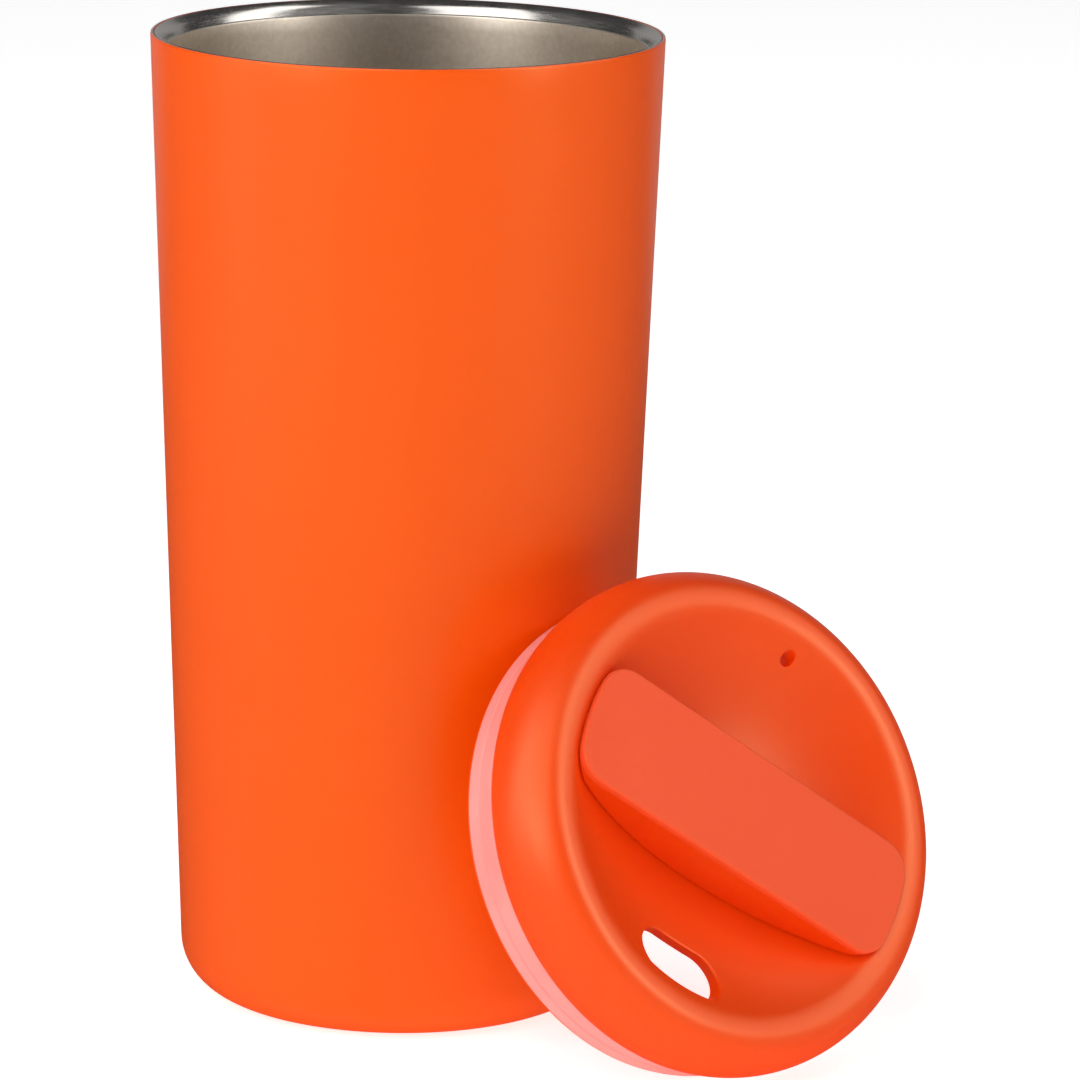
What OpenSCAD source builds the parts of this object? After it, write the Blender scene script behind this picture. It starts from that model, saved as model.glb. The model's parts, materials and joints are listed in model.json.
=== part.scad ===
// Insulated tumbler with a push-in twist lid. The lid is off and leans on the tumbler's wall.
// Millimetres. The origin is the centre of the foot, and +Z runs up the tumbler's axis.
// Lid parts are drawn on the lid's own axis, with z = 0 at the edge that sits on the
// tumbler's rim, and lid_place() then stands them in their resting place.

/* [Tumbler] */
// Outer diameter at the rim
rim_d = 88; // [86.5:0.5:90]
// Overall height
tumbler_h = 169; // [150:1:190]
// Outer diameter of the tapered wall, carried down to the table
foot_d = 76.4; // [75:0.2:79]
// Radius of the rounded bottom corner
corner_r = 9.4; // [8:0.2:11]
// Thickness of the steel walls
steel_t = 0.6; // [0.5:0.1:0.8]
// Diameter of the recess under the foot
recess_d = 54; // [48:1:55]

/* [Liner] */
// Diameter of the straight band inside the mouth
mouth_d = 82.2; // [81:0.2:83]
// Length of that straight band
mouth_l = 11; // [9:0.5:14]
// Drop of the sloping lip from the rim down to the mouth
lip_drop = 2; // [1.5:0.1:2.5]
// Height of the liner's floor above the table
floor_h = 14; // [13:0.5:18]
// Radius of the liner's inside bottom corner
liner_corner_r = 9; // [6:0.5:10]

/* [Lid cap] */
// Height of the cap above the tumbler's rim
cap_h = 14; // [13.5:0.1:15]
// Diameter of the cap's highest ring
ridge_d = 74; // [73:0.2:75]
// Wall thickness of the cap
cap_t = 2.2; // [1.8:0.1:2.4]
// Radius of the hollow dish in the top
dish_r = 57; // [56:0.5:59]
// Depth of the dish below the highest ring
dish_depth = 12.1; // [11.8:0.1:12.4]
// Radius of the soft shoulder outside the highest ring
shoulder_r = 4.2; // [3.8:0.1:4.6]
// Radius of the bulging side wall
side_r = 12.2; // [11.5:0.1:13]

/* [Holes in the lid] */
// Length of the sip slot
sip_l = 16.8; // [15:0.2:18]
// Width of the sip slot
sip_w = 9; // [8:0.1:9.2]
// Distance of the sip slot from the lid's axis
sip_at = 28.4; // [28:0.1:28.6]
// Radius about the lid's axis that the slot's outer side follows
sip_reach = 32.6; // [32.2:0.1:33]
// Diameter of the vent hole
vent_d = 2.5; // [2:0.1:3]
// Distance of the vent hole from the lid's axis
vent_at = 31.3; // [30:0.1:31.4]

/* [Plug and seal] */
// Depth of the plug below the cap
plug_h = 8.9; // [8.6:0.1:10]
// Outer diameter of the plug under the seal
plug_d = 78; // [77.5:0.1:78.4]
// Outer diameter of the lip that keeps the seal on
plug_lip_d = 81.3; // [80.6:0.1:81.6]
// Largest diameter of the silicone seal
seal_d = 82.3; // [82:0.1:82.5]

/* [Twist bar] */
// Length of the bar, over its round ends
bar_l = 68.8; // [66:0.2:69]
// Width of the bar
bar_w = 21.2; // [21:0.2:22]
// Radius of the bar's corners
bar_corner_r = 5.5; // [4:0.5:6]
// Height of the bar's top above the cap's highest ring
bar_rise = 0.8; // [0:0.1:1]
// Thickness of the soft plate on top of the bar
grip_t = 1.4; // [1:0.1:1.8]
// Diameter of the hub that turns in the cap
hub_d = 10; // [9:0.5:11]
// Radial clearance of the hub in its hole
hub_gap = 0.05; // [0.02:0.01:0.1]

/* [Where the lid leans] */
// Lean of the lid's axis away from upright
lid_lean = 66.2; // [65:0.1:67]
// Heading of the lid's face, counter-clockwise from +X
lid_heading = -52; // [-54:0.1:-49]
// Turn of the lid about its own axis
lid_spin = 50.8; // [0:0.1:90]
// Bearing of the lid's centre from the tumbler's axis
lid_bearing = -41.4; // [-44:0.1:-39]
// Distance of the lid's centre from the tumbler's axis
lid_reach = 66; // [66:0.1:75]

/* [Hidden] */

orange = [0.98, 0.38, 0.13];
coral = [0.94, 0.40, 0.27];
pink = [0.97, 0.62, 0.60];
steel = [0.72, 0.69, 0.64];

round_fn = 96;
fine_fn = 48;

rim_r = rim_d / 2;
mouth_r = mouth_d / 2;
recess_r = recess_d / 2;
ridge_r = ridge_d / 2;
plug_r = plug_d / 2;
plug_lip_r = plug_lip_d / 2;
seal_r = seal_d / 2;
hub_r = hub_d / 2;

// Tumbler wall: its slope, and the centre of its bottom corner
taper = atan((rim_d - foot_d) / 2 / tumbler_h);
corner_at = foot_d / 2 + corner_r * tan(taper) - corner_r / cos(taper);

// Foot: a recess with the end plate welded in and the pad below it
recess_h = 3.4;
plate_z = 2.2;
plate_t = 0.6;
dimple_r = 5;
dimple_h = 1;
port_r = 1.2;
pad_gap = 0.5;

// Liner: the lip, the band and the tapered wall below it
lip_round = 0.5;
band_top = tumbler_h - lip_drop - lip_round;
band_bottom = band_top - mouth_l;
liner_corner_at = mouth_r - (band_bottom - floor_h - liner_corner_r) * tan(taper)
                  - liner_corner_r / cos(taper);
foil_t = 0.2;
foil_gap = 0.15;

// Getter: a small cup under the liner's floor
getter_r = 4.9;
getter_h = 3.3;
getter_wall = 0.4;

// Cap outline: the dish and the soft crest touch where the line of their centres crosses
dish_z = cap_h - dish_depth + dish_r;
crest_r = (pow(ridge_r, 2) + pow(dish_r - dish_depth, 2) - pow(dish_r, 2)) / (2 * dish_depth);
crest_c = [ridge_r, cap_h - crest_r];
dish_end = atan2(crest_c[1] - dish_z, crest_c[0]);
shoulder_c = [ridge_r, cap_h - shoulder_r];
shoulder_end = 39.2;
side_c = shoulder_c + (shoulder_r - side_r) * [cos(shoulder_end), sin(shoulder_end)];
edge_r = 0.9;
edge_c = [side_c[0] + sqrt(pow(side_r - edge_r, 2) - pow(side_c[1] - edge_r, 2)), edge_r];
side_end = atan2(edge_c[1] - side_c[1], edge_c[0] - side_c[0]);
side_in_end = asin(-side_c[1] / (side_r - cap_t));

// Bearing of the hub: a collar under the dish
collar_r = 8.6;
collar_z = -2.6;

// Plug ring and seal
plug_t = 2;
ring_top = 6;
ring_top_r = 40.2;
lip_h = 0.9;
lip_chamfer = 0.4;
seal_groove_z = -5.7;
seal_groove = 0.35;

// Bar: its underside follows the dish
bar_gap = 0.45;
pad_lift = 0.2;
pad_t = 1.5;
pad_margin = 0.7;
bar_floor = 3.2;
bar_wall = 2.2;
bar_top = cap_h + bar_rise;
pad_top = bar_top - grip_t - 0.05;
bar_end_x = sqrt(pow(bar_l / 2 - bar_corner_r, 2) - pow(bar_w / 2 - bar_corner_r, 2));
boss_r = 5.6;

// Stack below the collar, each piece from its top face down
glide_top = collar_z - 0.05;
glide_t = 0.55;
spring_top = glide_top - glide_t;
spring_h = 1;
spring_t = 0.35;
stop_top = spring_top - spring_h;
stop_t = 0.8;
nose_r = 3.2;
nose_flat = 2.3;
tab_w = 5;
tab_r = 11.8;
stop_rib_t = 1.6;
stop_rib_in = 9.3;
stop_rib_out = 12.5;
stop_gap = 0.05;
flange_r = 4.6;
flange_t = 0.8;
head_r = 2.8;
head_h = 1.4;
screw_r = 1.45;
screw_l = 10;
screw_clear = 0.05;
o_ring_r = 0.65;
o_ring_z = 0.9;

// Points along an arc, from one angle to another
function arc(centre, r, from, to, steps) =
    [for (i = [0:steps])
        let (a = from + (to - from) * i / steps)
            centre + r * [cos(a), sin(a)]];

// Inner radius of the liner's tapered wall at a height
function liner_r(z) = mouth_r - (band_bottom - z) * tan(taper);

// Stands the lid on its plug's lip, leaning on the tumbler
module lid_place() {
    lid_z = (plug_h - lip_chamfer) * cos(lid_lean) + plug_lip_r * sin(lid_lean);
    translate([lid_reach * cos(lid_bearing), lid_reach * sin(lid_bearing), lid_z])
        rotate([0, lid_lean, lid_heading])
            rotate([0, 0, lid_spin])
                children();
}

// A flat ring from z up to z + t
module ring(outer, inner, z, t) {
    translate([0, 0, z])
        difference() {
            cylinder(r = outer, h = t, $fn = round_fn);
            translate([0, 0, -1])
                cylinder(r = inner, h = t + 2, $fn = round_fn);
        }
}

// ---- Tumbler ----

// Powder-coated outer wall, rounded under and turned up round the foot's recess
module outer_shell() {
    wall_t = steel_t / cos(taper);
    color(orange)
        rotate_extrude($fn = round_fn)
            polygon(concat(
                [[rim_r, tumbler_h]],
                arc([corner_at, corner_r], corner_r, -taper, -90, 8),
                [[recess_r, 0], [recess_r, recess_h], [recess_r + steel_t, recess_h],
                 [recess_r + steel_t, steel_t]],
                arc([corner_at, corner_r], corner_r - steel_t, -90, -taper, 8),
                [[rim_r - wall_t, tumbler_h]]));
}

// Steel cup whose sloping lip reaches out to the top of the shell
module inner_liner() {
    wall_t = steel_t / cos(taper);
    corner = [liner_corner_at, floor_h + liner_corner_r];
    color(steel)
        rotate_extrude($fn = round_fn)
            polygon(concat(
                [[rim_r - wall_t, tumbler_h], [mouth_r + lip_round, band_top + lip_round],
                 [mouth_r, band_top], [mouth_r, band_bottom]],
                arc(corner, liner_corner_r, -taper, -90, 8),
                [[0, floor_h], [0, floor_h - steel_t]],
                arc(corner, liner_corner_r + steel_t, -90, -taper, 8),
                [[mouth_r + wall_t, band_bottom], [mouth_r + wall_t, band_top - lip_round],
                 [rim_r - wall_t - tan(taper), tumbler_h - 1]]));
}

// Foil wrapped round the liner inside the vacuum gap
module reflective_foil() {
    low = floor_h + liner_corner_r;
    high = band_bottom - 4;
    inner = steel_t / cos(taper) + foil_gap;
    color([0.80, 0.52, 0.36])
        rotate_extrude($fn = round_fn)
            polygon([[liner_r(low) + inner, low], [liner_r(low) + inner + foil_t, low],
                     [liner_r(high) + inner + foil_t, high], [liner_r(high) + inner, high]]);
}

// End plate with a raised dimple round the evacuation hole
module outer_base() {
    slope_r = dimple_r + 2;
    color(steel)
        rotate_extrude($fn = round_fn)
            polygon([[port_r, plate_z + dimple_h], [dimple_r, plate_z + dimple_h],
                     [slope_r, plate_z], [recess_r, plate_z],
                     [recess_r, plate_z + plate_t], [slope_r + 0.2, plate_z + plate_t],
                     [dimple_r + 0.2, plate_z + dimple_h + plate_t],
                     [port_r, plate_z + dimple_h + plate_t]]);
}

// Glass bead that closes the evacuation hole
module port_seal() {
    bead_r = 2.4;
    seat_z = plate_z + dimple_h;
    color([0.55, 0.60, 0.55]) {
        translate([0, 0, seat_z])
            cylinder(r = port_r, h = plate_t, $fn = fine_fn);
        intersection() {
            translate([0, 0, seat_z + bead_r - 0.8])
                sphere(r = bead_r, $fn = fine_fn);
            translate([0, 0, seat_z - 0.8])
                cylinder(r = bead_r, h = 0.8, $fn = fine_fn);
        }
    }
}

// Small cup under the liner's floor that holds the getter
module getter_clip() {
    top = floor_h - steel_t;
    color(steel)
        difference() {
            translate([0, 0, top - getter_h - getter_wall])
                cylinder(r = getter_r + getter_wall, h = getter_h + getter_wall, $fn = fine_fn);
            translate([0, 0, top - getter_h])
                cylinder(r = getter_r, h = getter_h + 1, $fn = fine_fn);
            for (turn = [0:60:120])
                rotate([0, 0, turn])
                    translate([-0.6, -10, top - 1.2])
                        cube([1.2, 20, 2]);
        }
}

// Pellet that takes up stray gas in the vacuum
module getter_pill() {
    pill_h = 2;
    color([0.35, 0.35, 0.37])
        translate([0, 0, floor_h - steel_t - getter_h])
            cylinder(r = getter_r - 0.1, h = pill_h, $fn = fine_fn);
}

// Silicone disc over the end plate, with two shallow grooves in its face
module base_pad() {
    groove_w = 1.2;
    groove_h = 0.5;
    color([0.85, 0.30, 0.12])
        difference() {
            cylinder(r = recess_r - pad_gap, h = plate_z, $fn = round_fn);
            for (groove_r = [12, 20])
                ring(groove_r + groove_w, groove_r, -1, 1 + groove_h);
            translate([0, 0, plate_z - 0.8])
                cylinder(r1 = 2.6, r2 = dimple_r + 1, h = 0.9, $fn = fine_fn);
        }
}

// ---- Lid ----

// Revolved wall of the cap: dish, crest, shoulder and side, all one thickness
module cap_wall() {
    rotate_extrude($fn = round_fn)
        polygon(concat(
            arc([0, dish_z], dish_r, -90, dish_end, 16),
            arc(crest_c, crest_r, dish_end + 180, 90, 5),
            arc(shoulder_c, shoulder_r, 90, shoulder_end, 6),
            arc(side_c, side_r, shoulder_end, side_end, 8),
            arc(edge_c, edge_r, side_end, -90, 4),
            arc(side_c, side_r - cap_t, side_in_end, shoulder_end, 8),
            arc(shoulder_c, shoulder_r - cap_t, shoulder_end, 90, 5),
            arc(crest_c, crest_r - cap_t, 90, dish_end + 180, 4),
            arc([0, dish_z], dish_r + cap_t, dish_end, -90, 16)));
}

// Slot with round ends, lying along X
module slot(l, w) {
    square([l - w, w], center = true);
    for (side = [-1, 1])
        translate([side * (l - w) / 2, 0])
            circle(d = w, $fn = fine_fn);
}

// The two ribs that stop the washer's tab, a quarter turn apart
module stop_ribs() {
    rib_l = stop_rib_out - stop_rib_in;
    low = stop_top - stop_t;
    translate([stop_rib_in, -tab_w / 2 - stop_gap - stop_rib_t, low])
        cube([rib_l, stop_rib_t, 1 - low]);
    translate([-tab_w / 2 - stop_gap - stop_rib_t, stop_rib_in, low])
        cube([stop_rib_t, rib_l, 1 - low]);
}

// Moulded cap with its sip slot, its vent and the collar that the hub turns in
module lid_cap() {
    color(orange)
        lid_place()
            difference() {
                union() {
                    cap_wall();
                    translate([0, 0, collar_z])
                        cylinder(r = collar_r, h = 1 - collar_z, $fn = round_fn);
                    stop_ribs();
                }
                translate([0, 0, -20])
                    cylinder(r = hub_r + hub_gap, h = 40, $fn = round_fn);
                intersection() {
                    translate([0, -sip_at, 2])
                        linear_extrude(20)
                            slot(sip_l, sip_w);
                    cylinder(r = sip_reach, h = 30, $fn = round_fn);
                }
                translate([0, vent_at, 2])
                    cylinder(d = vent_d, h = 20, $fn = fine_fn);
            }
}

// Ring pressed up inside the cap, with the lip that keeps the seal on
module plug_ring() {
    inner = plug_r - plug_t;
    color(orange)
        lid_place()
            rotate_extrude($fn = round_fn)
                polygon(concat(
                    [[inner, -plug_h], [plug_lip_r - lip_chamfer, -plug_h]],
                    [[plug_lip_r, -plug_h + lip_chamfer], [plug_lip_r, -plug_h + lip_h]],
                    [[plug_r, -plug_h + lip_h], [plug_r, 0.2], [ring_top_r, 1.4]],
                    [[ring_top_r, ring_top], [ring_top_r - 1.4, ring_top], [inner, 1.4]]));
}

// Silicone band on the plug, with a fine groove round it
module lid_seal() {
    low = -plug_h + lip_h;
    low_r = plug_lip_r + 0.2;
    groove_r = seal_r - 0.6;
    color(pink)
        lid_place()
            rotate_extrude($fn = round_fn)
                polygon([[plug_r, low], [low_r - 0.3, low], [low_r, low + 0.4],
                         [groove_r, seal_groove_z - 0.3],
                         [groove_r - seal_groove, seal_groove_z],
                         [groove_r, seal_groove_z + 0.3],
                         [seal_r, -1.6], [seal_r, -0.5], [seal_r - 0.4, 0], [plug_r, 0]]);
}

// ---- Twist closure ----

// Outline of the bar: straight sides, round corners, and ends that follow the dish
module bar_outline(inset = 0) {
    r = bar_corner_r - inset;
    y = bar_w / 2 - bar_corner_r;
    square([2 * bar_end_x, bar_w - 2 * inset], center = true);
    for (sx = [-1, 1]) {
        for (sy = [-1, 1])
            translate([sx * bar_end_x, sy * y])
                circle(r = r, $fn = fine_fn);
        intersection() {
            circle(r = bar_l / 2 - inset, $fn = round_fn);
            polygon([[0, 0], [sx * 2 * bar_end_x, -2 * y], [sx * 2 * bar_end_x, 2 * y]]);
        }
    }
}

// Everything inside a sphere about the dish's centre, given its distance above the dish
module above_dish(lift) {
    translate([0, 0, dish_z])
        sphere(r = dish_r - lift, $fn = round_fn);
}

// Outlines of the two pads, each a little larger than the hole that it covers
module sip_pad_outline() {
    translate([-sip_at, 0])
        rotate([0, 0, 90])
            slot(sip_l + 2 * pad_margin, sip_w + 2 * pad_margin);
}

module vent_pad_outline() {
    translate([vent_at, 0])
        circle(d = vent_d + 4 * pad_margin, $fn = fine_fn);
}

// The space between two heights above the dish, under a flat top, for a pad or its pocket
module pad_solid(low, high, top) {
    difference() {
        intersection() {
            linear_extrude(top)
                children();
            above_dish(low);
        }
        above_dish(high);
    }
}

// Rigid bar: hollow under the soft plate, with the hub below and pockets for the pads
module closure_bar() {
    body_h = bar_top - grip_t;
    color(orange)
        lid_place()
            difference() {
                union() {
                    intersection() {
                        linear_extrude(body_h)
                            bar_outline();
                        above_dish(bar_gap);
                    }
                    translate([0, 0, stop_top])
                        cylinder(r = hub_r, h = 6 - stop_top, $fn = round_fn);
                    hub_nose();
                }
                difference() {
                    intersection() {
                        linear_extrude(body_h + 1)
                            bar_outline(bar_wall);
                        above_dish(bar_gap + bar_floor);
                    }
                    cylinder(r = boss_r, h = 20, $fn = fine_fn);
                    for (x = [-13, 13])
                        translate([x - 0.8, -bar_w / 2, 0])
                            cube([1.6, bar_w, 20]);
                }
                pad_solid(-5, bar_gap + pad_t, bar_top)
                    sip_pad_outline();
                pad_solid(-5, bar_gap + pad_t, bar_top)
                    vent_pad_outline();
                translate([0, 0, o_ring_z - o_ring_r])
                    ring(hub_r + 1, hub_r - 2 * o_ring_r, 0, 2 * o_ring_r);
                translate([0, 0, stop_top - stop_t - 1])
                    cylinder(r = screw_r + screw_clear, h = screw_l + 2, $fn = fine_fn);
            }
}

// D-shaped nose under the hub that keys the stop washer
module hub_nose() {
    translate([0, 0, stop_top - stop_t + 0.1])
        intersection() {
            cylinder(r = nose_r, h = stop_t, $fn = fine_fn);
            translate([-5, -5, -1])
                cube([10, 5 + nose_flat, 5]);
        }
}

// Soft-touch plate on top of the bar
module bar_grip() {
    color(coral)
        lid_place()
            translate([0, 0, bar_top - grip_t])
                linear_extrude(grip_t)
                    bar_outline();
}

// Silicone pad that closes the sip slot
module sip_pad() {
    color(pink)
        lid_place()
            pad_solid(pad_lift, bar_gap + pad_t, pad_top)
                sip_pad_outline();
}

// Silicone pad that closes the vent
module vent_pad() {
    color(pink)
        lid_place()
            pad_solid(pad_lift, bar_gap + pad_t, pad_top)
                vent_pad_outline();
}

// Seals the hub in the cap
module hub_o_ring() {
    color([0.9, 0.9, 0.88])
        lid_place()
            translate([0, 0, o_ring_z])
                rotate_extrude($fn = round_fn)
                    translate([hub_r - o_ring_r, 0])
                        circle(r = o_ring_r, $fn = 24);
}

// Plastic washer that slides on the collar
module glide_washer() {
    color([0.93, 0.93, 0.90])
        lid_place()
            ring(collar_r, hub_r + screw_clear, glide_top - glide_t, glide_t);
}

// Coned spring washer that holds the bar down on the dish
module disc_spring() {
    inner = hub_r + 0.2;
    outer = collar_r - 0.3;
    color(steel)
        lid_place()
            rotate_extrude($fn = round_fn)
                polygon([[inner, stop_top + spring_h - spring_t], [outer, stop_top],
                         [outer, stop_top + spring_t], [inner, stop_top + spring_h]]);
}

// Steel washer with the tab that meets the stop ribs
module stop_washer() {
    low = stop_top - stop_t;
    color(steel)
        lid_place()
            difference() {
                union() {
                    translate([0, 0, low])
                        cylinder(r = collar_r, h = stop_t, $fn = round_fn);
                    intersection() {
                        translate([0, -tab_w / 2, low])
                            cube([tab_r, tab_w, stop_t]);
                        translate([0, 0, low])
                            cylinder(r = tab_r, h = stop_t, $fn = round_fn);
                    }
                }
                translate([0, 0, low - 1])
                    intersection() {
                        cylinder(r = nose_r + screw_clear, h = stop_t + 2, $fn = fine_fn);
                        translate([-5, -5, 0])
                            cube([10, 5 + nose_flat + screw_clear, 5]);
                    }
            }
}

// Flanged screw with a cross recess
module retainer_screw() {
    seat = stop_top - stop_t;
    color(steel)
        lid_place()
            difference() {
                union() {
                    translate([0, 0, seat - flange_t])
                        cylinder(r = flange_r, h = flange_t, $fn = fine_fn);
                    translate([0, 0, seat - flange_t - head_h])
                        cylinder(r = head_r, h = head_h, $fn = fine_fn);
                    translate([0, 0, seat])
                        cylinder(r = screw_r, h = screw_l, $fn = fine_fn);
                }
                for (turn = [0, 90])
                    rotate([0, 0, turn])
                        translate([-1.8, -0.4, seat - flange_t - head_h - 1])
                            cube([3.6, 0.8, 2]);
            }
}

// Snap-on cup that keeps drink away from the screw
module screw_cap() {
    seat = stop_top - stop_t;
    wall = 0.9;
    depth = flange_t + head_h + 0.2;
    color([0.93, 0.93, 0.90])
        lid_place()
            difference() {
                translate([0, 0, seat - depth - wall])
                    cylinder(r = flange_r + screw_clear + wall, h = depth + wall, $fn = round_fn);
                translate([0, 0, seat - depth])
                    cylinder(r = flange_r + screw_clear, h = depth + 1, $fn = round_fn);
            }
}

outer_shell();
inner_liner();
reflective_foil();
outer_base();
port_seal();
getter_clip();
getter_pill();
base_pad();
lid_cap();
plug_ring();
lid_seal();
closure_bar();
bar_grip();
sip_pad();
vent_pad();
hub_o_ring();
glide_washer();
disc_spring();
stop_washer();
retainer_screw();
screw_cap();
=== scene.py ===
"""Looks for the insulated tumbler with its twist lid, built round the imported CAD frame.

Outlines are written in millimetres as (radius, height), about the tumbler's axis or the
lid's, and every mesh is made in metres in the CAD frame.
"""
import json
import math

import bmesh
import bpy
from mathutils import Matrix, Vector


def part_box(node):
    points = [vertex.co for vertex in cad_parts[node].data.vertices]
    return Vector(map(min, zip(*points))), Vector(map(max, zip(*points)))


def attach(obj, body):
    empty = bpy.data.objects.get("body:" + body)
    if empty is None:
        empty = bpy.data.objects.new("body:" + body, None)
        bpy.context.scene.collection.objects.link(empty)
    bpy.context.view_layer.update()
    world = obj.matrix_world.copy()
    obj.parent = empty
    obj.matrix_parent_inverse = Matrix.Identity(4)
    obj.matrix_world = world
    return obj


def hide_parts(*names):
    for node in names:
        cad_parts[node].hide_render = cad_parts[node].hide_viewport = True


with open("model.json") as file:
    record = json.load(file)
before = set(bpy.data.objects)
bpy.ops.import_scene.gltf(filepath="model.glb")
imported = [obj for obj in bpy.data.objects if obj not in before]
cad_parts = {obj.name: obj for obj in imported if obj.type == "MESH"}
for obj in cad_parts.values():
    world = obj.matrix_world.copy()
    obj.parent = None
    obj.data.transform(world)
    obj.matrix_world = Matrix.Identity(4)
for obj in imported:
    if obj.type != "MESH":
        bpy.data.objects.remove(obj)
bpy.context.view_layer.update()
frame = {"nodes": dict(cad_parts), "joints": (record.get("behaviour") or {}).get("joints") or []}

MM = 0.001

# ---- Sizes, in millimetres, from the frame and from the CAD's driving dimensions ----

TUMBLER_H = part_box("outer_shell")[1].z / MM
RIM_R = 44.0
FOOT_R = 38.2
CORNER_R = 9.4
STEEL_T = 0.6
BARE_RIM = 0.1
WALL_SEGMENTS = 256
LID_SEGMENTS = 240
# The rim's rounded edge, as steps in from the outside and down from the top
RIM_OUT = ((0.02, 0.5), (0.06, 0.2), (0.2, 0.03), (0.38, 0.0))
RIM_IN = ((0.5, 0.06), (STEEL_T, 0.3))
RECESS_R = 27.0
RECESS_H = 3.4
# The foot's inner edge, as steps out from the recess and up from the ground
FOOT_EDGE = ((0.6, 0.0), (0.18, 0.15), (0.0, 0.6))
PAD_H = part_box("base_pad")[1].z / MM
TAPER = math.atan((RIM_R - FOOT_R) / TUMBLER_H)

MOUTH_R = 41.1
MOUTH_L = 11.0
LIP_DROP = 2.0
LIP_ROUND = 0.5
LIP_CROWN = 0.24
# The liner's edge beside the shell, as steps in from its outside and down from the top
LINER_EDGE = ((0.02, 0.35), (0.08, 0.12), (0.25, 0.02), (0.45, 0.1))
# Where the lip meets the mouth, as steps out from the mouth and up from the band's top
LIP_FOOT = ((0.42, 0.42), (0.3, 0.1), (0.12, 0.02), (0.03, -0.1), (0.0, -0.3))
FLOOR_H = 14.0
LINER_CORNER_R = 9.0

CAP_H = 14.0
CAP_T = 2.2
RIDGE_R = 37.0
DISH_R = 57.0
DISH_DEPTH = 12.1
SHOULDER_R = 4.2
SHOULDER_END = 39.2
SIDE_R = 12.2
EDGE_R = 0.9
COLLAR_R = 8.6
COLLAR_Z = -2.6
COLLAR_ROUND = 0.6
HUB_HOLE_R = 5.05

TAB_HALF_W = 2.5
STOP_GAP = 0.05
RIB_T = 1.6
RIB_IN = 9.3
RIB_OUT = 12.5
RIB_LOW = -5.0
RIB_HIGH = 1.2

SIP_L = 16.8
SIP_W = 9.0
SIP_AT = 28.4
SIP_REACH = 32.6
VENT_R = 1.25
VENT_AT = 31.3
SLOT_ROUND = 0.55
VENT_ROUND = 0.25

PLUG_H = 8.9
PLUG_R = 39.0
PLUG_T = 2.0
PLUG_LIP_R = 40.65
PLUG_LIP_H = 0.6
PLUG_CHAMFER = 0.4
RING_TOP = 6.0
RING_TOP_R = 40.2
SEAL_R = 41.15
SEAL_GROOVE_Z = -5.7
SEAL_GROOVE_HALF = 0.35
SEAL_GROOVE_DEPTH = 0.3

BAR_R = 34.4
BAR_W = 21.2
BAR_CORNER_R = 5.5
BAR_TOP = CAP_H + 0.8
BAR_SKIRT_GAP = 0.12
BAR_SKIRT_ROUND = 0.25
BAR_ROUND = 0.45
GRIP_T = 1.4
SEAM_INSET = 1.5

HUB_R = 5.0
HUB_LOW = -4.2
HUB_HIGH = 4.0
HUB_GROOVE_Z = 0.9
O_RING_R = 0.65
NOSE_R = 3.2
NOSE_FLAT = 2.3
NOSE_T = 0.7
BORE_R = 1.5

LID_SPIN = 50.8

# ---- The lid's own axes, from the closure's joint ----

closure_joint = next(j for j in frame["joints"] if j["name"] == "closure_turn")
lid_axis = Vector(closure_joint["axis"]).normalized()
lid_lean = math.acos(lid_axis.z)
lid_heading = math.atan2(lid_axis.y, lid_axis.x)
LID = (Matrix.Translation(Vector(closure_joint["pos_m"]))
       @ Matrix.Rotation(lid_heading, 4, "Z")
       @ Matrix.Rotation(lid_lean, 4, "Y")
       @ Matrix.Rotation(math.radians(LID_SPIN), 4, "Z"))
UPRIGHT = Matrix.Identity(4)
BENCH = Matrix.Scale(1 / MM, 4)


# ---- Outlines ----

def arc(centre, radius, start, end, steps):
    """Points along an arc between two angles in degrees."""
    points = []
    for i in range(steps + 1):
        a = math.radians(start + (end - start) * i / steps)
        points.append((centre[0] + radius * math.cos(a), centre[1] + radius * math.sin(a)))
    return points


def rounded(corners, steps=5):
    """A closed outline from (r, z, fillet) corners, with an arc wherever there is a fillet."""
    points = []
    count = len(corners)
    for i, (x, z, fillet) in enumerate(corners):
        here = Vector((x, z))
        if fillet <= 0:
            points.append((x, z))
            continue
        back = (Vector(corners[i - 1][:2]) - here).normalized()
        ahead = (Vector(corners[(i + 1) % count][:2]) - here).normalized()
        half = back.angle(ahead) / 2
        reach = fillet / math.tan(half)
        centre = here + (back + ahead).normalized() * (fillet / math.sin(half))
        first = here + back * reach - centre
        last = here + ahead * reach - centre
        turn = first.angle_signed(last)
        for k in range(steps + 1):
            spoke = first.copy()
            spoke.rotate(Matrix.Rotation(-turn * k / steps, 2))
            points.append(tuple(centre + spoke))
    return points


# ---- Meshes ----

def finish_mesh(name, mesh_data, place, sharp_angle=40):
    """Turns a bmesh in millimetres into a smooth-shaded object in the CAD frame."""
    bmesh.ops.remove_doubles(mesh_data, verts=mesh_data.verts, dist=1e-4)
    bmesh.ops.recalc_face_normals(mesh_data, faces=mesh_data.faces)
    mesh = bpy.data.meshes.new(name)
    mesh_data.to_mesh(mesh)
    mesh_data.free()
    mesh.transform(place @ Matrix.Scale(MM, 4))
    mesh.shade_smooth()
    mesh.set_sharp_from_angle(angle=math.radians(sharp_angle))
    obj = bpy.data.objects.new(name, mesh)
    bpy.context.scene.collection.objects.link(obj)
    return obj


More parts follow.
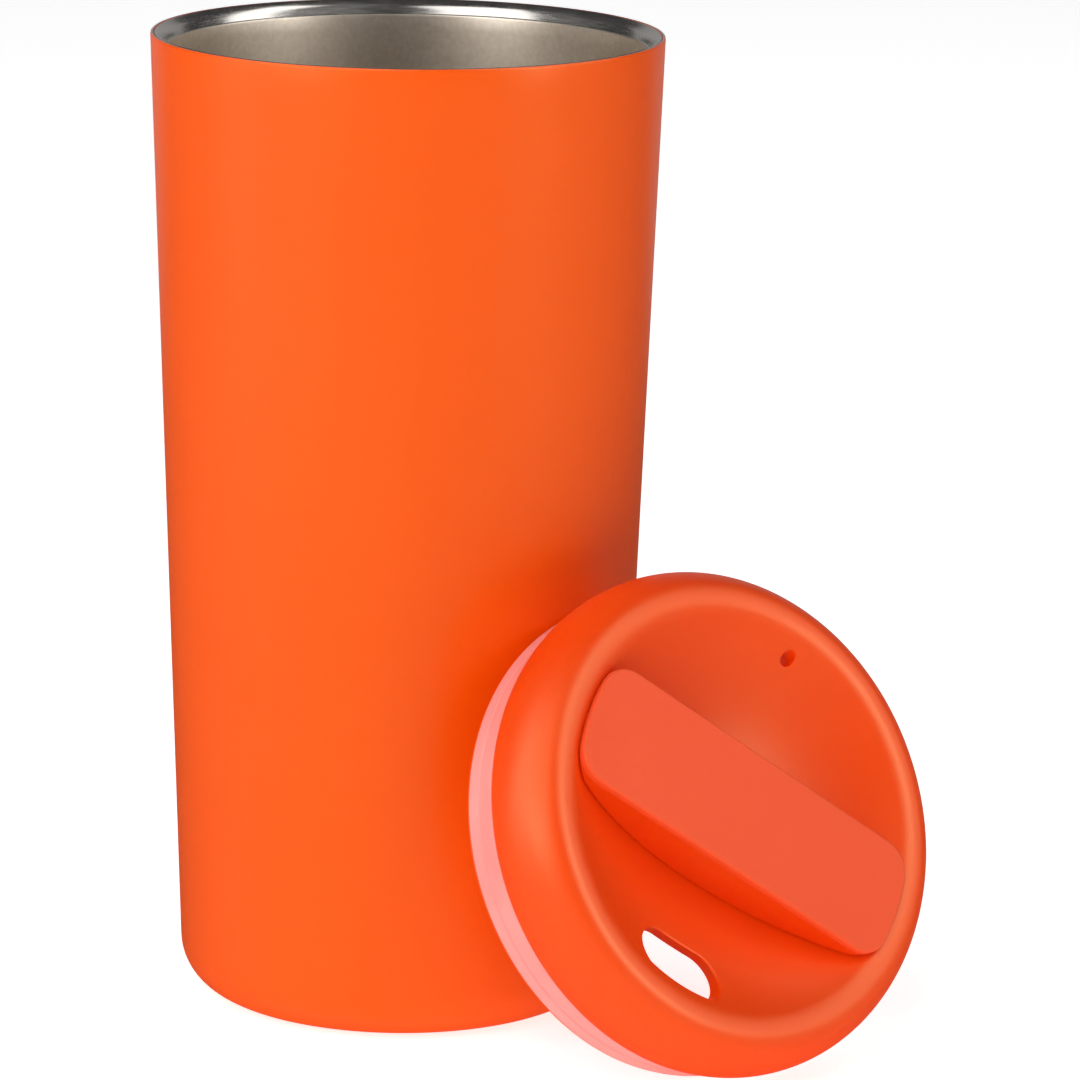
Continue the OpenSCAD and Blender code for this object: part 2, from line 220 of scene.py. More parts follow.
def revolve(name, outline, place, segments=192, sharp_angle=40):
    """A closed outline turned about the axis. Points on the axis become one pole."""
    bm = bmesh.new()
    rings = []
    for r, z in outline:
        if r < 1e-6:
            rings.append([bm.verts.new((0, 0, z))] * segments)
            continue
        ring = []
        for s in range(segments):
            a = 2 * math.pi * s / segments
            ring.append(bm.verts.new((r * math.cos(a), r * math.sin(a), z)))
        rings.append(ring)
    for i, ring in enumerate(rings):
        after = rings[(i + 1) % len(rings)]
        for s in range(segments):
            t = (s + 1) % segments
            corners = [ring[s], ring[t], after[t], after[s]]
            unique = list(dict.fromkeys(corners))
            if len(unique) > 2:
                bm.faces.new(unique)
    return finish_mesh(name, bm, place, sharp_angle)


def loft(rings, cap_first=True, cap_last=True):
    """A bmesh skin through closed rings of equal length."""
    bm = bmesh.new()
    verts = [[bm.verts.new(p) for p in ring] for ring in rings]
    for a, b in zip(verts, verts[1:]):
        for s in range(len(a)):
            t = (s + 1) % len(a)
            bm.faces.new((a[s], a[t], b[t], b[s]))
    if cap_first:
        bm.faces.new(reversed(verts[0]))
    if cap_last:
        bm.faces.new(verts[-1])
    return bm


def cut(obj, tools, place):
    """Cuts the tools out of obj, all of them still in millimetres, and puts it in place."""
    for tool in tools:
        modifier = obj.modifiers.new("cut", "BOOLEAN")
        modifier.operation = "DIFFERENCE"
        modifier.solver = "EXACT"
        modifier.object = tool
    depsgraph = bpy.context.evaluated_depsgraph_get()
    mesh = bpy.data.meshes.new_from_object(obj.evaluated_get(depsgraph))
    obj.modifiers.clear()
    obj.data = mesh
    mesh.transform(place @ Matrix.Scale(MM, 4))
    mesh.shade_smooth()
    mesh.set_sharp_from_angle(angle=math.radians(50))
    for tool in tools:
        bpy.data.objects.remove(tool)


# ---- The lid's curves ----

dish_z = CAP_H - DISH_DEPTH + DISH_R
crest_r = (RIDGE_R ** 2 + (DISH_R - DISH_DEPTH) ** 2 - DISH_R ** 2) / (2 * DISH_DEPTH)
crest_c = (RIDGE_R, CAP_H - crest_r)
dish_end = math.degrees(math.atan2(crest_c[1] - dish_z, crest_c[0]))
shoulder_c = (RIDGE_R, CAP_H - SHOULDER_R)
side_c = (shoulder_c[0] + (SHOULDER_R - SIDE_R) * math.cos(math.radians(SHOULDER_END)),
          shoulder_c[1] + (SHOULDER_R - SIDE_R) * math.sin(math.radians(SHOULDER_END)))
edge_c = (side_c[0] + math.sqrt((SIDE_R - EDGE_R) ** 2 - (side_c[1] - EDGE_R) ** 2), EDGE_R)
side_end = math.degrees(math.atan2(edge_c[1] - side_c[1], edge_c[0] - side_c[0]))
side_in_end = math.degrees(math.asin(-side_c[1] / (SIDE_R - CAP_T)))


def dish_height(r):
    """Height of the dish's surface at a radius."""
    return dish_z - math.sqrt(DISH_R ** 2 - r * r)


def under_height(r):
    """Height of the underside of the dish at a radius."""
    return dish_z - math.sqrt((DISH_R + CAP_T) ** 2 - r * r)


def slot_ring(centre, length, width, reach, grow):
    """Points round a slot along the lid's X with round ends, kept within a reach of the axis."""
    half = (length - width) / 2
    radius = width / 2 + grow
    straight = 16 if half > 0 else 1
    path = []
    for side, start in ((1, -90), (-1, 90)):
        path += arc((side * half, 0), radius, start, start + 180, 36)
        path += [(side * half * (1 - 2 * k / straight), side * radius) for k in range(1, straight)]
    ring = []
    for x, y in path:
        at = Vector((centre[0] + x, centre[1] + y))
        ring.append(tuple(at * min(1.0, (reach + grow) / at.length)))
    return ring


def hole_tool(name, centre, length, width, reach, fillet):
    """A cutter whose sides flare into the dish, so that the hole's edge comes out rounded."""
    above, below, overshoot, steps = 8, 9, 0.015, 6
    levels = [(0.0, below)]
    for k in range(steps + 1):
        a = math.radians(90 * k / steps)
        levels.append((fillet * (1 - math.cos(a)), fillet * (1 - math.sin(a)) - overshoot))
    rings = []
    for grow, depth in levels:
        ring = slot_ring(centre, length, width, reach, grow)
        rings.append([(x, y, dish_height(math.hypot(x, y)) - depth) for x, y in ring])
    rings.append([(x, y, z + above) for x, y, z in rings[-1]])
    return finish_mesh(name, loft(rings), BENCH)


# ---- Tumbler ----

def make_outer_shell():
    corner = (FOOT_R + CORNER_R * math.tan(TAPER) - CORNER_R / math.cos(TAPER), CORNER_R)
    taper = math.degrees(TAPER)
    top_out = [(RIM_R - inward, TUMBLER_H - down) for inward, down in RIM_OUT]
    top_in = [(RIM_R - inward, TUMBLER_H - down) for inward, down in RIM_IN]
    wall_top = top_out[0][1]
    foot = [(RECESS_R + out, up) for out, up in FOOT_EDGE]
    foot += [(RECESS_R, RECESS_H), (RECESS_R + STEEL_T, RECESS_H), (RECESS_R + STEEL_T, STEEL_T)]
    wall_steps = 40
    wall = []
    for i in range(1, wall_steps):
        z = wall_top - (wall_top - CORNER_R) * i / wall_steps
        wall.append((FOOT_R + z * math.tan(TAPER), z))
    outline = (list(reversed(top_out)) + wall + arc(corner, CORNER_R, -taper, -90, 20)
               + foot + arc(corner, CORNER_R - STEEL_T, -90, -taper, 12) + list(reversed(top_in)))
    shell = revolve("tumbler_wall", outline, UPRIGHT, WALL_SEGMENTS)
    for face in shell.data.polygons:
        face.material_index = 1 if face.center.z > (TUMBLER_H - BARE_RIM) * MM else 0
    return shell


def crowned(start, end, rise, steps=8):
    """Points from start to end along a shallow crown that rises square to the way."""
    start, end = Vector(start), Vector(end)
    along = (end - start).normalized()
    side = Vector((along.y, -along.x)) * rise
    points = []
    for i in range(1, steps + 1):
        share = i / steps
        points.append(tuple(start.lerp(end, share) + side * math.sin(math.pi * share)))
    return points


def make_liner():
    taper = math.degrees(TAPER)
    band_top = TUMBLER_H - LIP_DROP - LIP_ROUND
    band_bottom = band_top - MOUTH_L
    corner_at = (MOUTH_R - (band_bottom - FLOOR_H - LINER_CORNER_R) * math.tan(TAPER)
                 - LINER_CORNER_R / math.cos(TAPER))
    corner = (corner_at, FLOOR_H + LINER_CORNER_R)
    top_r = RIM_R - STEEL_T
    lip = [(top_r - inward, TUMBLER_H - down) for inward, down in LINER_EDGE]
    foot = [(MOUTH_R + out, band_top + up) for out, up in LIP_FOOT]
    lip += crowned(lip[-1], foot[0], LIP_CROWN) + foot[1:]
    band = [(MOUTH_R, band_top - MOUTH_L * k / 4) for k in range(1, 5)]
    wall_steps = 30
    wall = []
    for i in range(1, wall_steps):
        z = band_bottom - (band_bottom - corner[1]) * i / wall_steps
        wall.append((MOUTH_R - (band_bottom - z) * math.tan(TAPER), z))
    floor = [(r, FLOOR_H) for r in (18.0, 9.0, 0.0)]
    under = [(r, FLOOR_H - STEEL_T) for r in (0.0, 15.0)]
    outside = arc(corner, LINER_CORNER_R + STEEL_T, -90, -taper, 12)
    outside += [(MOUTH_R + STEEL_T, band_bottom), (MOUTH_R + STEEL_T, band_top - 0.6),
                (top_r - 0.05, TUMBLER_H - 1.0)]
    outline = lip + band + wall + arc(corner, LINER_CORNER_R, -taper, -90, 14) + floor
    outline += under + outside
    liner = revolve("liner", outline, UPRIGHT, WALL_SEGMENTS)
    polished_above = (band_top + 0.05) * MM
    for face in liner.data.polygons:
        face.material_index = 1 if face.center.z > polished_above else 0
    return liner


def make_base_pad():
    radius = RECESS_R - 0.5
    corners = [(0, 0, 0)]
    for groove in (12.0, 20.0):
        corners += [(groove, 0, 0.2), (groove + 0.15, 0.5, 0.1),
                    (groove + 1.05, 0.5, 0.1), (groove + 1.2, 0, 0.2)]
    corners += [(radius, 0, 0.5), (radius, PAD_H, 0.2), (0, PAD_H, 0)]
    return revolve("foot_pad", rounded(corners, 3), UPRIGHT, 128)


# ---- Lid ----

def make_lid_cap():
    dish_start = -90 + math.degrees(math.asin(HUB_HOLE_R / DISH_R))
    under_end = -90 + math.degrees(math.asin((COLLAR_R + COLLAR_ROUND) / (DISH_R + CAP_T)))
    outline = arc((0, dish_z), DISH_R, dish_start, dish_end, 40)
    outline += arc(crest_c, crest_r, dish_end + 180, 90, 14)[1:]
    outline += arc(shoulder_c, SHOULDER_R, 90, SHOULDER_END, 12)[1:]
    outline += arc(side_c, SIDE_R, SHOULDER_END, side_end, 18)[1:]
    outline += arc(edge_c, EDGE_R, side_end, -90, 8)[1:]
    outline += arc(side_c, SIDE_R - CAP_T, side_in_end, SHOULDER_END, 12)
    outline += arc(shoulder_c, SHOULDER_R - CAP_T, SHOULDER_END, 90, 8)[1:]
    outline += arc(crest_c, crest_r - CAP_T, 90, dish_end + 180, 8)[1:]
    outline += arc((0, dish_z), DISH_R + CAP_T, dish_end, under_end, 30)[1:]
    outline += arc((COLLAR_R + COLLAR_ROUND, under_height(COLLAR_R) - COLLAR_ROUND - 0.02),
                   COLLAR_ROUND, 90, 180, 4)[1:]
    outline += arc((COLLAR_R - 0.4, COLLAR_Z + 0.4), 0.4, 0, -90, 4)
    outline += [(HUB_HOLE_R, COLLAR_Z)]
    cap = revolve("cap", outline, BENCH, LID_SEGMENTS)
    slot = hole_tool("slot_tool", (0, -SIP_AT), SIP_L, SIP_W, SIP_REACH, SLOT_ROUND)
    vent = hole_tool("vent_tool", (0, VENT_AT), 2 * VENT_R, 2 * VENT_R, RIDGE_R, VENT_ROUND)
    cut(cap, [slot, vent], LID)
    return cap


def make_stop_rib(name, low, high):
    """A small bevelled block between two corners in the lid's own millimetres."""
    bm = bmesh.new()
    bmesh.ops.create_cube(bm, size=1)
    size = Vector(high) - Vector(low)
    middle = (Vector(high) + Vector(low)) / 2
    for v in bm.verts:
        v.co = Vector((v.co.x * size.x, v.co.y * size.y, v.co.z * size.z)) + middle
    bmesh.ops.bevel(bm, geom=list(bm.edges), offset=0.3, segments=3, profile=0.5,
                    affect="EDGES")
    return finish_mesh(name, bm, LID)


def make_stop_ribs():
    """The two ribs that the washer's tab meets, a quarter turn apart."""
    near, far = -TAB_HALF_W - STOP_GAP, -TAB_HALF_W - STOP_GAP - RIB_T
    along = make_stop_rib("stop_rib_open", (RIB_IN, far, RIB_LOW), (RIB_OUT, near, RIB_HIGH))
    across = make_stop_rib("stop_rib_shut", (far, RIB_IN, RIB_LOW), (near, RIB_OUT, RIB_HIGH))
    return [along, across]


def make_plug_ring():
    inner = PLUG_R - PLUG_T
    corners = [(inner, -PLUG_H, 0.5), (PLUG_LIP_R - PLUG_CHAMFER, -PLUG_H, 0.15),
               (PLUG_LIP_R, -PLUG_H + PLUG_CHAMFER, 0.15),
               (PLUG_LIP_R, -PLUG_H + PLUG_LIP_H, 0.1), (PLUG_R, -PLUG_H + PLUG_LIP_H, 0),
               (PLUG_R, 0.2, 0), (RING_TOP_R, 1.4, 0), (RING_TOP_R, RING_TOP, 0.3),
               (RING_TOP_R - 1.4, RING_TOP, 0.3), (inner, 1.4, 1.5)]
    return revolve("plug_wall", rounded(corners), LID, LID_SEGMENTS)


def make_seal():
    low = -PLUG_H + PLUG_LIP_H
    low_r = PLUG_LIP_R + 0.2
    groove_r = SEAL_R - 0.6
    corners = [(PLUG_R, low, 0), (low_r - 0.3, low, 0), (low_r, low + 0.4, 0.3),
               (groove_r, SEAL_GROOVE_Z - SEAL_GROOVE_HALF, 0.12),
               (groove_r - SEAL_GROOVE_DEPTH, SEAL_GROOVE_Z, 0.08),
               (groove_r, SEAL_GROOVE_Z + SEAL_GROOVE_HALF, 0.12),
               (SEAL_R, -1.6, 0.6), (SEAL_R, -0.45, 0.3), (SEAL_R - 0.4, 0, 0.1), (PLUG_R, 0, 0)]
    return revolve("seal_band", rounded(corners), LID, LID_SEGMENTS)


# ---- Twist bar ----

def bar_ring(inset, height):
    """The bar's outline as points: round corners, and ends that follow the dish's rim."""
    y = BAR_W / 2 - BAR_CORNER_R
    x = math.sqrt((BAR_R - BAR_CORNER_R) ** 2 - y ** 2)
    tangent = math.degrees(math.atan2(y, x))
    corner_r = BAR_CORNER_R - inset
    points = arc((0, 0), BAR_R - inset, -tangent, tangent, 20)
    points += arc((x, y), corner_r, tangent, 90, 14)[1:]
    straight = 26
    points += [(x - 2 * x * k / straight, BAR_W / 2 - inset) for k in range(1, straight)]
    points += arc((-x, y), corner_r, 90, 180 - tangent, 14)
    points += arc((0, 0), BAR_R - inset, 180 - tangent, 180 + tangent, 20)[1:]
    points += arc((-x, -y), corner_r, 180 + tangent, 270, 14)[1:]
    points += [(-x + 2 * x * k / straight, -BAR_W / 2 + inset) for k in range(1, straight)]
    points += arc((x, -y), corner_r, 270, 360 - tangent, 14)[:-1]
    return [(px, py, height(px, py)) for px, py in points]


def shrunk(ring, share, height):
    """The same ring drawn in towards the axis."""
    return [(x * share, y * share, height(x * share, y * share)) for x, y, z in ring]


def make_bar():
    """Side walls and the underside that follows the dish, up to the soft plate."""
    def under(x, y):
        return dish_z - math.sqrt((DISH_R - BAR_SKIRT_GAP) ** 2 - x * x - y * y)

    def seam(x, y):
        return BAR_TOP - GRIP_T - 0.02

    soft_edge = bar_ring(BAR_SKIRT_ROUND, under)
    rings = [shrunk(soft_edge, k / 12, under) for k in range(1, 12)]
    rings.append(soft_edge)
    skirt = [(x, y, z + BAR_SKIRT_ROUND) for x, y, z in bar_ring(0, under)]
    for k in range(8):
        rings.append([(x, y, z + (seam(x, y) - z) * k / 7) for x, y, z in skirt])
    rings.append(bar_ring(SEAM_INSET, seam))
    return finish_mesh("bar_body", loft(rings), LID)


def make_bar_hub():
    """The round hub under the bar, with the O-ring's groove and the screw's bore."""
    high = HUB_GROOVE_Z + O_RING_R
    low = HUB_GROOVE_Z - O_RING_R
    floor_r = HUB_R - 2 * O_RING_R
    corners = [(BORE_R, HUB_LOW, 0.15), (HUB_R, HUB_LOW, 0.3), (HUB_R, low, 0.1),
               (floor_r, low, 0.1), (floor_r, high, 0.1), (HUB_R, high, 0.1),
               (HUB_R, HUB_HIGH, 0), (BORE_R, HUB_HIGH, 0)]
    return revolve("bar_hub", rounded(corners, 4), LID, 96)


def make_bar_nose():
    """The D-shaped nose that keys the tab washer, open for the screw."""
    def ring(radius, flat, z):
        return [(x, min(y, flat), z) for x, y in arc((0, 0), radius, 0, 355, 71)]

    low, high = HUB_LOW - NOSE_T, HUB_LOW + 0.1
    rings = [ring(NOSE_R - 0.15, NOSE_FLAT - 0.15, low), ring(NOSE_R, NOSE_FLAT, low + 0.15),
             ring(NOSE_R, NOSE_FLAT, high), ring(BORE_R, NOSE_FLAT, high),
             ring(BORE_R, NOSE_FLAT, low)]
    return finish_mesh("bar_nose", loft(rings + rings[:1], False, False), LID)


def make_bar_grip():
    """The soft plate: its top is flat with a small round at the edge."""
    def at(z):
        return lambda x, y: z

    low = BAR_TOP - GRIP_T
    rings = [bar_ring(SEAM_INSET, at(low)), bar_ring(0, at(low)), bar_ring(0, at(low + 0.4))]
    for k in range(7):
        a = math.radians(90 * k / 6)
        inset = BAR_ROUND * (1 - math.cos(a))
        rings.append(bar_ring(inset, at(BAR_TOP - BAR_ROUND * (1 - math.sin(a)))))
    rings.append(bar_ring(1.2, at(BAR_TOP)))
    return finish_mesh("bar_plate", loft(rings), LID, 30)


# ---- Materials ----

class Nodes:
    """A small helper that builds one material's node tree."""

    def __init__(self, name):
        self.material = bpy.data.materials.new(name)
        self.material.use_nodes = True
        self.tree = self.material.node_tree
        self.shader = self.tree.nodes["Principled BSDF"]
        self.coords = self.tree.nodes.new("ShaderNodeTexCoord").outputs["Object"]

    def put(self, **values):
        for name, value in values.items():
            self.shader.inputs[name.replace("_", " ")].default_value = value
        return self

    def noise(self, scale, detail=3.0, roughness=0.5, stretch=None):
        node = self.tree.nodes.new("ShaderNodeTexNoise")
        node.inputs["Scale"].default_value = scale
        node.inputs["Detail"].default_value = detail
        node.inputs["Roughness"].default_value = roughness
        source = self.coords
        if stretch:
            mapping = self.tree.nodes.new("ShaderNodeMapping")
            mapping.inputs["Scale"].default_value = stretch
            self.tree.links.new(source, mapping.inputs["Vector"])
            source = mapping.outputs["Vector"]
        self.tree.links.new(source, node.inputs["Vector"])
        return node.outputs["Fac"]

    def ramp(self, factor, stops):
        node = self.tree.nodes.new("ShaderNodeValToRGB")
        ramp = node.color_ramp
        while len(ramp.elements) < len(stops):
            ramp.elements.new(0.5)
        for element, (position, colour) in zip(ramp.elements, stops):
            element.position = position
            element.color = colour
        self.tree.links.new(factor, node.inputs["Fac"])
        return node.outputs["Color"]

    def span(self, factor, low, high, start=0.3, end=0.7):
        node = self.tree.nodes.new("ShaderNodeMapRange")
        node.inputs["From Min"].default_value = start
        node.inputs["From Max"].default_value = end
        node.inputs["To Min"].default_value = low
        node.inputs["To Max"].default_value = high
        self.tree.links.new(factor, node.inputs["Value"])
        return node.outputs["Result"]

    def link(self, socket, name):
        self.tree.links.new(socket, self.shader.inputs[name])
        return self

    def bump(self, height, strength, distance):
        node = self.tree.nodes.new("ShaderNodeBump")
        node.inputs["Strength"].default_value = strength
        node.inputs["Distance"].default_value = distance
        self.tree.links.new(height, node.inputs["Height"])
        previous = self.shader.inputs["Normal"].links
        if previous:
            self.tree.links.new(previous[0].from_socket, node.inputs["Normal"])
        self.tree.links.new(node.outputs["Normal"], self.shader.inputs["Normal"])
        return self


def linear(red, green, blue):
    """A display colour from 0 to 255 as the linear colour that nodes take."""
    def channel(value):
        value /= 255
        return value / 12.92 if value <= 0.04045 else ((value + 0.055) / 1.055) ** 2.4
    return (channel(red), channel(green), channel(blue), 1.0)


def powder_coat():
    m = Nodes("powder_coat")
    m.put(Metallic=0.0, IOR=1.5, Specular_IOR_Level=0.5, Specular_Tint=(1.0, 0.92, 0.5, 1.0))
    cloud = m.noise(18, 2)
    m.link(m.ramp(cloud, [(0.3, (0.90, 0.088, 0.0, 1)), (0.7, (0.93, 0.094, 0.001, 1))]),
           "Base Color")
    m.link(m.span(m.noise(500, 2), 0.30, 0.34), "Roughness")
    m.bump(m.noise(1300, 2, 0.5), 0.05, 0.00003)
    m.bump(m.noise(260, 2), 0.03, 0.0001)
    return m.material


def lid_plastic():
    m = Nodes("lid_plastic")
    m.put(Metallic=0.0, IOR=1.49, Specular_IOR_Level=0.65,
          Specular_Tint=(1.0, 0.92, 0.48, 1.0), Subsurface_Weight=0.3, Subsurface_Scale=0.0014,
          Subsurface_Radius=(1.0, 0.25, 0.1))
    cloud = m.noise(30, 2)
    m.link(m.ramp(cloud, [(0.3, (0.92, 0.062, 0.0, 1)), (0.7, (0.95, 0.069, 0.001, 1))]),
           "Base Color")
    m.link(m.span(m.noise(1400, 4), 0.34, 0.42), "Roughness")
    m.bump(m.noise(5200, 3, 0.6), 0.10, 0.00003)
    return m.material


def soft_touch():
    m = Nodes("soft_touch")
    m.put(Metallic=0.0, IOR=1.45, Specular_IOR_Level=0.35, Sheen_Weight=0.15, Sheen_Roughness=0.5,
          Sheen_Tint=linear(255, 190, 170))
    cloud = m.noise(45, 3)
    m.link(m.ramp(cloud, [(0.3, (0.96, 0.079, 0.006, 1)), (0.7, (0.98, 0.086, 0.010, 1))]),
           "Base Color")
    m.link(m.span(m.noise(2400, 4), 0.58, 0.70), "Roughness")
    m.bump(m.noise(6500, 3, 0.7), 0.16, 0.00003)
    return m.material


def silicone(name, low, high):
    m = Nodes(name)
    m.put(Metallic=0.0, IOR=1.43, Subsurface_Weight=0.2, Subsurface_Scale=0.002,
          Subsurface_Radius=(1.0, 0.5, 0.4))
    m.link(m.ramp(m.noise(60, 3), [(0.3, low), (0.7, high)]), "Base Color")
    m.link(m.span(m.noise(1800, 4), 0.42, 0.56), "Roughness")
    m.bump(m.noise(3200, 3, 0.6), 0.12, 0.00004)
    return m.material


def blasted_steel():
    m = Nodes("blasted_steel")
    m.put(Metallic=1.0)
    speckle = m.noise(1100, 2, 0.5)
    m.link(m.ramp(speckle, [(0.3, linear(210, 197, 181)), (0.7, linear(220, 209, 194))]),
           "Base Color")
    m.link(m.span(m.noise(900, 2), 0.36, 0.42), "Roughness")
    m.bump(m.noise(1100, 2, 0.5), 0.03, 0.00003)
    return m.material


def polished_steel():
    m = Nodes("polished_steel")
    m.put(Metallic=1.0)
    rub = m.noise(300, 4, 0.6, stretch=(1.0, 1.0, 12.0))
    m.link(m.ramp(rub, [(0.3, linear(205, 200, 194)), (0.7, linear(222, 218, 212))]), "Base Color")
    m.link(m.span(rub, 0.16, 0.26), "Roughness")
    m.bump(m.noise(900, 3), 0.05, 0.00005)
    return m.material


def plain_steel():
    m = Nodes("plain_steel")
    m.put(Metallic=1.0)
    m.link(m.ramp(m.noise(120, 3), [(0.3, linear(184, 183, 180)), (0.7, linear(206, 205, 202))]),
           "Base Color")
    m.link(m.span(m.noise(800, 4), 0.26, 0.38), "Roughness")
    m.bump(m.noise(2600, 3), 0.1, 0.00004)
    return m.material


def plain(name, low, high, metallic, rough):
    """A simple moulded or sintered finish between two close colours."""
    m = Nodes(name)
    m.put(Metallic=metallic)
    m.link(m.ramp(m.noise(150, 3), [(0.3, low), (0.7, high)]), "Base Color")
    m.link(m.span(m.noise(1200, 3), rough, rough + 0.12), "Roughness")
    m.bump(m.noise(3600, 3), 0.12, 0.00004)
    return m.material


def glass_bead():
    m = Nodes("glass_bead")
    m.put(Transmission_Weight=0.9, IOR=1.52)
    m.link(m.ramp(m.noise(400, 2), [(0.3, linear(205, 220, 208)), (0.7, linear(220, 232, 222))]),
           "Base Color")
    m.link(m.span(m.noise(2000, 3), 0.05, 0.12), "Roughness")
    return m.material


def paint(obj, *materials):
    """Puts the materials in an object's slots, in order."""
    if obj.data.materials:
        obj.data.materials.clear()
    for material in materials:
        obj.data.materials.append(material)


# ---- Camera, floor and lights ----

FOCAL_PX = 5889.3
FRAME_PX = 1080
SENSOR_MM = 36.0
CAMERA_AT = Vector((0.0, -1.0, 0.3082))
CAMERA_YAW = 0.0238
CAMERA_PITCH = 0.2240
CAMERA_ROLL = 0.0152
LIGHT_AIM = Vector((0.02, 0.0, 0.08))
# Name, degrees to the right of the camera's side, degrees up, then in metres the distance,
# width and height, then the watts that light matte surfaces and the watts that reflect
SOFT_BOXES = (
    ("front", -15, 40, 1.25, 0.5, 1.2, 7.9, 0),
    ("left", -43, 36, 1.25, 1.0, 1.2, 0, 6.5),
    ("low_left", -46, 12, 1.25, 0.5, 0.4, 0, 2.8),
    ("far_left", -78, 24, 1.25, 0.4, 1.2, 4.6, 6.5),
    ("right", 55, 36, 1.25, 0.4, 1.2, 2.8, 7.5),
    ("low_right", 59, 12, 1.25, 0.3, 0.4, 0, 2.4),
    ("far_right", 88, 34, 1.25, 0.6, 1.4, 0, 4.5),
    ("top", 0, 85, 2.5, 2.0, 2.0, 2.5, 0),
    ("back", 165, 40, 1.5, 1.2, 0.8, 1.5, 0),
    ("backdrop", 180, 8, 1.5, 2.6, 1.0, 0, 2.2),
)


def make_camera():
    forward = Vector((math.sin(CAMERA_YAW) * math.cos(CAMERA_PITCH),
                      math.cos(CAMERA_YAW) * math.cos(CAMERA_PITCH),
                      -math.sin(CAMERA_PITCH)))
    right = Vector((math.cos(CAMERA_YAW), -math.sin(CAMERA_YAW), 0))
    up = right.cross(forward)
    rolled_right = right * math.cos(CAMERA_ROLL) + up * math.sin(CAMERA_ROLL)
    rolled_up = up * math.cos(CAMERA_ROLL) - right * math.sin(CAMERA_ROLL)
    data = bpy.data.cameras.new("camera")
    data.sensor_width = SENSOR_MM
    data.lens = FOCAL_PX * SENSOR_MM / FRAME_PX
    data.clip_start = 0.05
    data.clip_end = 20
    camera = bpy.data.objects.new("camera", data)
    camera.matrix_world = Matrix.Translation(CAMERA_AT) @ Matrix((
        (rolled_right.x, rolled_up.x, -forward.x, 0),
        (rolled_right.y, rolled_up.y, -forward.y, 0),
        (rolled_right.z, rolled_up.z, -forward.z, 0),
        (0, 0, 0, 1)))
    bpy.context.scene.collection.objects.link(camera)
    bpy.context.scene.camera = camera


def make_floor():
    bm = bmesh.new()
    bmesh.ops.create_grid(bm, x_segments=1, y_segments=1, size=4)
    mesh = bpy.data.meshes.new("floor")
    bm.to_mesh(mesh)
    bm.free()
    floor = bpy.data.objects.new("floor", mesh)
    bpy.context.scene.collection.objects.link(floor)
    m = Nodes("floor")
    m.put(Base_Color=(0.93, 0.93, 0.93, 1), Roughness=0.9, Specular_IOR_Level=0.1,
          Emission_Color=(1, 1, 1, 1), Emission_Strength=0.75)
    paint(floor, m.material)
    floor.visible_glossy = False


def soft_box(name, turn, lift, distance, width, length, power, matte):
    """A rectangular light aimed at the object, for matte shading or for reflections."""
    data = bpy.data.lights.new(name, "AREA")
    data.shape = "RECTANGLE"
    data.size = width
    data.size_y = length
    data.energy = power
    light = bpy.data.objects.new(name, data)
    away = Vector((math.sin(turn) * math.cos(lift), -math.cos(turn) * math.cos(lift),
                   math.sin(lift)))
    light.location = LIGHT_AIM + away * distance
    light.rotation_euler = (-away).to_track_quat("-Z", "Y").to_euler()
    light.visible_camera = False
    light.visible_diffuse = matte
    light.visible_glossy = not matte
    bpy.context.scene.collection.objects.link(light)


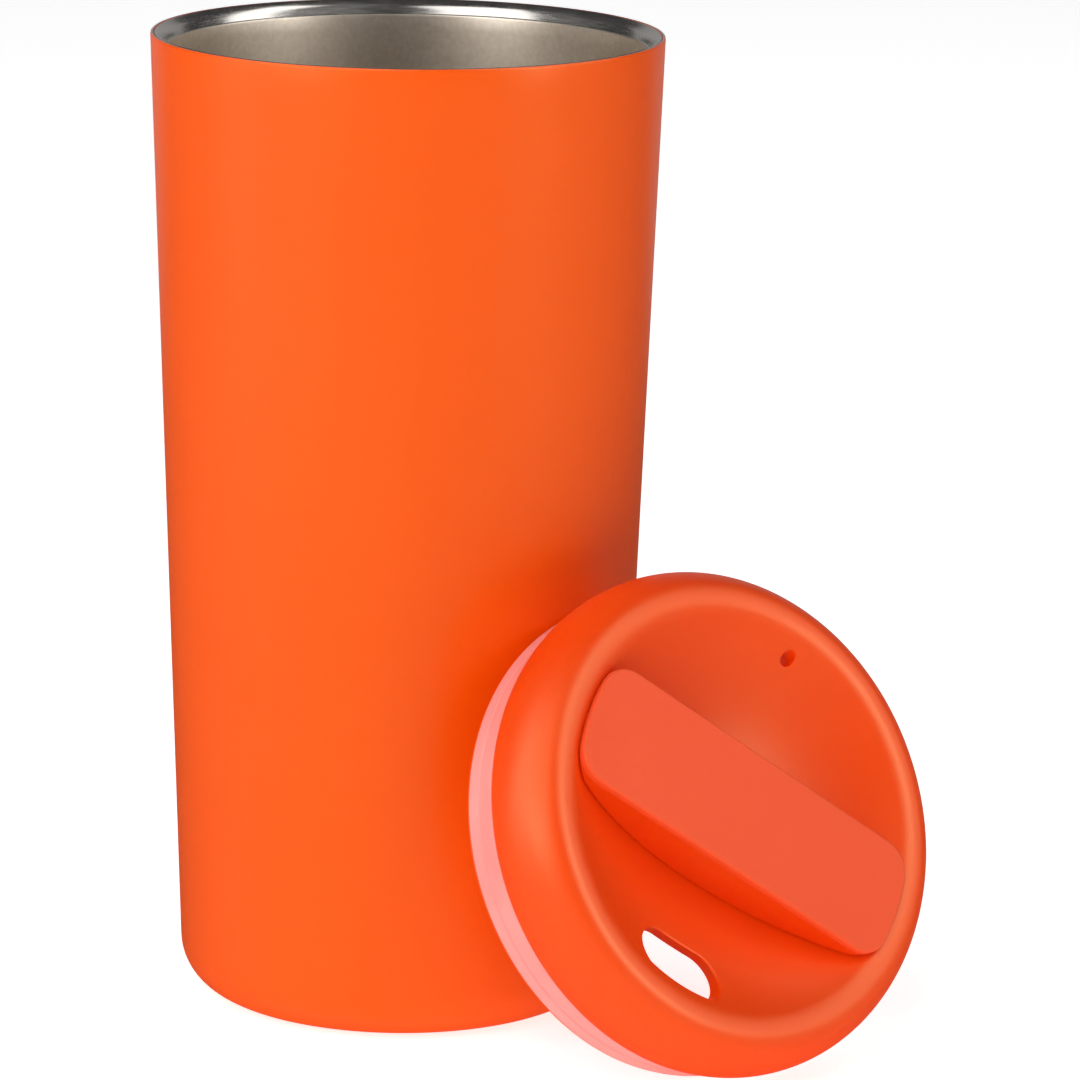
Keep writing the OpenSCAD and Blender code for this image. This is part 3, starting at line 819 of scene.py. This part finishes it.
def make_light():
    for name, turn, lift, distance, width, length, matte_w, shine_w in SOFT_BOXES:
        place = (math.radians(turn), math.radians(lift), distance, width, length)
        if matte_w:
            soft_box(name + "_matte", *place, matte_w, True)
        if shine_w:
            soft_box(name + "_shine", *place, shine_w, False)
    world = bpy.data.worlds.new("studio")
    world.use_nodes = True
    background = world.node_tree.nodes["Background"]
    background.inputs["Color"].default_value = (1.0, 1.0, 1.0, 1)
    background.inputs["Strength"].default_value = 0.05
    bpy.context.scene.world = world
    bpy.context.scene.view_settings.view_transform = "Standard"


# ---- Build ----

coat = powder_coat()
plastic = lid_plastic()
touch = soft_touch()
pink = silicone("pink_silicone", linear(246, 146, 138), linear(250, 158, 150))
clear = silicone("clear_silicone", linear(226, 226, 220), linear(238, 238, 232))
pad_rubber = silicone("pad_silicone", linear(214, 70, 26), linear(226, 78, 32))
blasted = blasted_steel()
polished = polished_steel()
bare = plain_steel()
foil = plain("copper_foil", linear(205, 128, 86), linear(222, 150, 108), 1.0, 0.22)
white = plain("white_plastic", linear(232, 232, 226), linear(242, 242, 238), 0.0, 0.38)
getter = plain("getter_grey", linear(70, 70, 74), linear(92, 92, 96), 0.0, 0.7)
glass = glass_bead()


def add(piece, body, node, slot, *materials):
    """Paints a piece, lets it ride on its body and stand for its CAD node."""
    paint(piece, *materials)
    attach(piece, body)
    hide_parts(node)


add(make_outer_shell(), "tumbler", "outer_shell", "powder_coat", coat, polished)
add(make_liner(), "tumbler", "inner_liner", "blasted_steel", blasted, polished)
add(make_base_pad(), "tumbler", "base_pad", "pad_silicone", pad_rubber)
add(make_lid_cap(), "lid", "lid_cap", "lid_plastic", plastic)
for rib in make_stop_ribs():
    add(rib, "lid", "lid_cap", "lid_plastic", plastic)
add(make_plug_ring(), "lid", "plug_ring", "lid_plastic", plastic)
add(make_seal(), "lid", "lid_seal", "pink_silicone", pink)
for part in (make_bar(), make_bar_hub(), make_bar_nose()):
    add(part, "closure", "closure_bar", "lid_plastic", plastic)
add(make_bar_grip(), "closure", "bar_grip", "soft_touch", touch)

for node, material in (("reflective_foil", foil), ("outer_base", bare),
                       ("port_seal", glass), ("getter_clip", bare), ("getter_pill", getter),
                       ("sip_pad", pink), ("vent_pad", pink), ("hub_o_ring", clear),
                       ("glide_washer", white), ("disc_spring", bare), ("stop_washer", bare),
                       ("retainer_screw", bare), ("screw_cap", white)):
    paint(frame["nodes"][node], material)

make_camera()
make_floor()
make_light()
